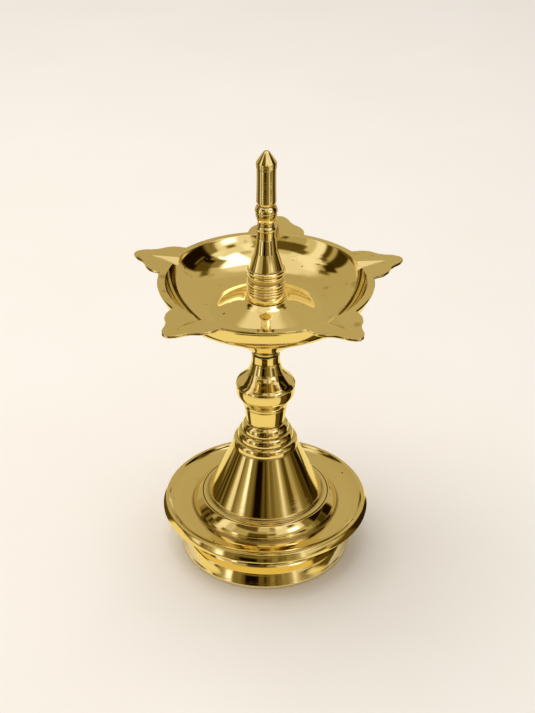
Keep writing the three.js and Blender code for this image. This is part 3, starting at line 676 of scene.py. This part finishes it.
cards = [
    # the top of the tent: pale on the left, a large bright lamp over its right half
    (-200, -17, 440, 600, 0.92, 8, 0, 40),
    (-132, -58, 415, 500, 1.07, 6, 0, 20),
    (-42, -10, 400, 480, 0.66, 8, 0, 30),
    (18, 200, 485, 600, 0.95, 10, 0, 30),
    (26, 46, 440, 480, 0.64, 6, 0, 20),
    (84, 200, 425, 485, 0.62, 8, 0, 30),
    (58, 122, 484, 541, 2.0, 10, 0, 22),
    (47, 81, 412, 520, 2.1, 7, 0, 22),
    (80, 112, 425, 476, 0.28, 3, 0, 12),
    # back half of the tent
    (-200, -104, -10, 455, 0.53, 5, 0, 40),
    (112, 200, -10, 440, 0.55, 6, 0, 40),
    (-131, -118, 410, 455, 0.15, 4, 0, 12),
    (106, 134, 392, 436, 0.14, 5, 0, 12),
    # left side, from 150 mm up
    (-112, -91, 150, 385, 0.05, 3, 0, 12),
    (-121, -100, 345, 425, 0.04, 3, 0, 12),
    (-92, -85, 150, 400, 0.48, 2, -2, 12),
    (-85, -74, 150, 345, 0.09, 2, -2, 10),
    (-93, -82, 340, 385, 0.12, 3, 0, 10),
    (-101, -95, 425, 450, 0.20, 3, 0, 8),
    (-75, -60, 150, 420, 1.05, 2, -2, 15),
    (-62, -51, 150, 420, 0.70, 3, -2, 15),
    (-59, -53, 393, 424, 0.06, 3, 0, 8),
    (-51, -27, 150, 300, 0.50, 5, 0, 15),
    (-27, 4, 140, 250, 0.10, 4, 0, 14),
    (-27, 4, 244, 300, 0.42, 5, 0, 12),
    (4, 18, 150, 205, 0.50, 3, 0, 14),
    (4, 18, 200, 254, 0.17, 3, 0, 14),
    (4, 18, 248, 304, 0.62, 4, 0, 14),
    (-54, -12, 290, 435, 0.12, 4, 0, 14),
    (-62, -46, 370, 435, 0.14, 5, 0, 14),
    (-12, 8, 296, 404, 0.64, 4, 0, 14),
    (8, 18, 296, 404, 0.36, 3, 0, 14),
    # right side: white cards, a grey screen and a dark window
    (16, 68, 150, 440, 0.92, 4, 2, 15),
    (20, 33, 330, 440, 1.10, 4, 0, 20),
    (8, 21, 384, 410, 0.24, 3, 0, 8),
    (41, 53, 300, 350, 0.17, 4, 0, 12),
    (18, 78, 158, 200, 0.48, 5, 0, 12),
    (34, 60, 196, 290, 1.05, 6, 0, 18),
    (38, 55, 200, 268, 2.0, 6, 0, 18),
    (64, 80, 150, 338, 0.24, 3, 1, 12),
    (60, 80, 338, 405, 1.0, 3, 0, 12),
    (79, 118, 150, 428, 0.01, 2, 0, 8),
    (96, 119, 330, 428, 0.10, 3, 0, 10),
    (79, 86, 378, 428, 0.33, 3, 0, 10),
    (88, 106, 298, 312, 0.30, 3, 0, 5),
    # strips of all widths up to 150 mm, from the left round the front to the right
    (-125, -114, -10, 150, 0.42, 5, 0, 10),
    (-114, -108, -10, 150, 0.25, 2, 0, 10),
    (-108, -84, -10, 150, 0.02, 2, 0, 10),
    (-104, -99, -10, 150, 0.17, 2, 0, 10),
    (-94, -89, -10, 150, 0.25, 2, 0, 10),
    (-84, -79, -10, 150, 0.13, 2, 0, 10),
    (-79, -75, -10, 150, 0.40, 2, 0, 10),
    (-75, -65, -10, 150, 0.98, 1.5, 0, 10),
    (-65, -61, -10, 150, 0.09, 1.5, 0, 10),
    (-61, -56, -10, 150, 0.28, 2, 0, 10),
    (-56, -51, -10, 150, 0.40, 2, 0, 10),
    (-51, -47, -10, 150, 0.60, 2, 0, 10),
    (-48, -40, -10, 150, 1.40, 1.5, 0, 10),
    (-40, -29, -10, 150, 0.23, 1.5, 0, 10),
    (-29, -25, -10, 150, 0.10, 2, 0, 10),
    (-25, -6, -10, 150, 0.006, 2, 0, 12),
    (-6, -2, -10, 150, 0.11, 1.5, 0, 14),
    (-2, 3, -10, 150, 0.03, 1.5, 0, 14),
    (3, 7, -10, 150, 0.11, 1.5, 0, 14),
    (7, 11.5, -10, 150, 0.28, 1.5, 0, 14),
    (11.5, 16, -10, 150, 0.12, 1.5, 0, 12),
    (16, 21, -10, 150, 0.18, 2, 0, 10),
    (21, 30, -10, 150, 0.31, 2, 0, 10),
    (30, 34, -10, 150, 0.46, 1.5, 0, 10),
    (34, 39, -10, 150, 1.05, 1.5, 0, 10),
    (39, 43, -10, 150, 0.56, 1.5, 0, 10),
    (43, 48, -10, 150, 0.30, 2, 0, 10),
    (48, 61, -10, 150, 0.10, 2, 0, 10),
    (61, 71, -10, 150, 0.46, 2, 0, 10),
    (71, 76, -10, 150, 0.27, 2, 0, 10),
    (76, 84, -10, 150, 0.19, 2, 0, 10),
    (84, 99, -10, 150, 0.06, 2, 0, 10),
    (99, 117, -10, 150, 0.012, 2, 0, 10),
    (-53, -41, 42, 70, 0.55, 2, 0, 8),
    (-32, 14, 42, 58, 0.25, 4, 0, 8),
    (38, 70, 22, 58, 0.80, 3, 0, 8),
    (68, 90, -10, 20, 0.68, 3, 0, 8),
    # low down behind the lamp, where only views from behind can see them
    (140, 150, 5, 85, 0.12, 2, 0, 10),
    (156, 163, 5, 85, 1.00, 2, 0, 10),
    (168, 178, 5, 85, 0.16, 2, 0, 10),
    (-176, -170, 5, 85, 0.90, 2, 0, 10),
    (-162, -150, 5, 85, 0.10, 2, 0, 10),
    # the floor at the tent's foot, and dark mats on its outer part
    (-200, 200, -300, 1, 0.98, 3, 0, 2),
    (-32, 14, -130, 1, 0.05, 6, 0, 20),
    (-126, -98, -300, 1, 0.10, 3, 0, 2),
    (60, 120, -300, 1, 0.12, 4, 0, 2),
    (90, 118, -300, 1, 0.03, 4, 0, 2),
    (-110, 12, -70, 1, 0.07, 4, 0, 12),
    (-80, -34, -70, 1, 0.25, 4, 0, 12),
    (12, 38, -70, 1, 0.32, 4, 0, 12),
    (38, 66, -70, 1, 0.72, 4, 0, 12),
    (66, 84, -70, 1, 0.32, 4, 0, 12),
    (84, 136, -70, 1, 0.06, 4, 0, 12),
]
level = np.full(height.shape, 0.95)
for card in cards:
    level = hang(level, *card)
# The painted cards' edges are soft: columns k apart are averaged with the bell curve exp(-k^2 / 8),
# and above the floor each row with its neighbours. Dim painted glow is browner than bright glow: green
# falls as level^1.15 and blue as level^1.8. The tent's floor glows warmer.
bell_half = 6
bell = np.exp(-np.arange(-bell_half, bell_half + 1) ** 2 / 8)
bell /= bell.sum()
level = sum(weight * np.roll(level, k - bell_half, 1) for k, weight in enumerate(bell))
padded = np.pad(level[len(tent_floor):], ((1, 1), (0, 0)), "edge")
level[len(tent_floor):] = (padded[:-2] + 2 * padded[1:-1] + padded[2:]) / 4
shade = np.stack([0.98 * level, 0.87 * level ** 1.15, 0.66 * level ** 1.8], -1)
shade[tent_place[:, 0] < 0] *= (1, 0.93, 0.58)
tent_points = np.stack([
    tent_r * np.cos(tent_angle), tent_r * np.sin(tent_angle), tent_z + 0 * tent_angle,
], -1).reshape(-1, 3)
rows, around = height.shape
tent_faces = [face for face in skin(rows, around, False) if len(face) == 4]
tent = mesh_of("studio_tent", tent_points, tent_faces, np.zeros(len(tent_points)))
paint = tent.data.attributes.new("shade", "FLOAT_COLOR", "POINT")
opaque = np.ones(height.shape + (1,))
paint.data.foreach_set("color", np.concatenate([shade, opaque], -1).astype(np.float32).ravel())
tent_glow_material = bpy.data.materials.new("tent_painted_glow")
tent_glow_material.use_nodes = True
tree = tent_glow_material.node_tree
# The tent's colour is glowing painted light: the painted brightness that the brass mirrors.
painted = wire(tree, "ShaderNodeAttribute", attribute_name="shade").outputs["Color"]
glow = wire(tree, "ShaderNodeEmission", {0: painted})
tree.links.new(glow.outputs[0], tree.nodes["Material Output"].inputs["Surface"])
tent.data.materials.append(tent_glow_material)
tent.visible_camera = False
tent.visible_diffuse = False
tent.visible_shadow = False
